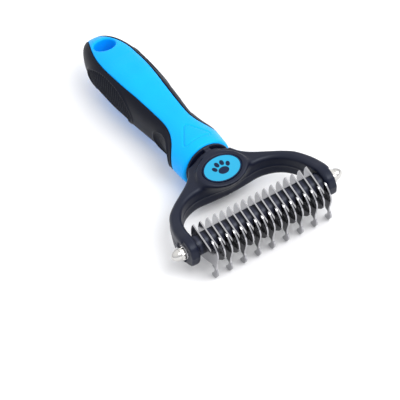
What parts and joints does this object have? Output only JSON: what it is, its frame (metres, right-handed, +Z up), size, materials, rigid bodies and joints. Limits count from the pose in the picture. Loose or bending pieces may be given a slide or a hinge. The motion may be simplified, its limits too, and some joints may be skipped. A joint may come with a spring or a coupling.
{
  "type": "undercoat rake",
  "caption": "Two-sided undercoat rake for grooming: a pack of steel blades with long hooks below, keyed on an axle in a Y-shaped head, on a soft-grip handle.",
  "frame": {"origin": "centre of the rake's bounding box, on the level of the long hooks' feet", "axes": "+Y along the handle away from the blades, +X along the axle, +Z up out of the badge side"},
  "size_m": [0.1046, 0.1841, 0.0317],
  "materials": {
    "frame_black": "fine satin moulded",
    "badge_blue": "glossy domed badge",
    "handle_blue": "satin moulded",
    "grip_black": "soft matte",
    "axle_steel": "turned",
    "blade_steel": "polished stamped steel",
    "spacer_black": "satin moulded",
    "washer_steel": "plated",
    "nut_chrome": "polished plated"
  },
  "bodies": {
    "rake": {"head_frame": "frame_black", "badge": "badge_blue", "handle_body": "handle_blue", "grip_left": "grip_black", "grip_right": "grip_black", "axle_rod": "axle_steel", "blade_01": "blade_steel", "blade_02": "blade_steel", "blade_03": "blade_steel", "blade_04": "blade_steel", "blade_05": "blade_steel", "blade_06": "blade_steel", "blade_07": "blade_steel", "blade_08": "blade_steel", "blade_09": "blade_steel", "blade_10": "blade_steel", "blade_11": "blade_steel", "blade_12": "blade_steel", "blade_13": "blade_steel", "blade_14": "blade_steel", "blade_15": "blade_steel", "blade_16": "blade_steel", "blade_17": "blade_steel", "spacer_01": "spacer_black", "spacer_02": "spacer_black", "spacer_03": "spacer_black", "spacer_04": "spacer_black", "spacer_05": "spacer_black", "spacer_06": "spacer_black", "spacer_07": "spacer_black", "spacer_08": "spacer_black", "spacer_09": "spacer_black", "spacer_10": "spacer_black", "spacer_11": "spacer_black", "spacer_12": "spacer_black", "spacer_13": "spacer_black", "spacer_14": "spacer_black", "spacer_15": "spacer_black", "spacer_16": "spacer_black", "spacer_17": "spacer_black", "spacer_18": "spacer_black"},
    "washer_left": {"washer_left": "washer_steel"},
    "nut_left": {"nut_left": "nut_chrome"},
    "washer_right": {"washer_right": "washer_steel"},
    "nut_right": {"nut_right": "nut_chrome"}
  },
  "joints": [
    {"name": "nut_left_travel", "type": "slide", "parent": "rake", "child": "washer_left", "axis": [-1, 0, 0], "range_m": [0, 0.0035]},
    {"name": "nut_left_turn", "type": "hinge", "parent": "washer_left", "child": "nut_left", "pos_m": [-0.045, -0.0737, 0.0154], "axis": [-1, 0, 0], "range_deg": [0, 1800]},
    {"name": "nut_right_travel", "type": "slide", "parent": "rake", "child": "washer_right", "axis": [1, 0, 0], "range_m": [0, 0.0035]},
    {"name": "nut_right_turn", "type": "hinge", "parent": "washer_right", "child": "nut_right", "pos_m": [0.045, -0.0737, 0.0154], "axis": [1, 0, 0], "range_deg": [0, 1800]}
  ],
  "couplings": [
    {"joint": "nut_left_turn", "follows": "nut_left_travel", "rad_per_m": 8975.9},
    {"joint": "nut_right_turn", "follows": "nut_right_travel", "rad_per_m": 8975.9}
  ]
}
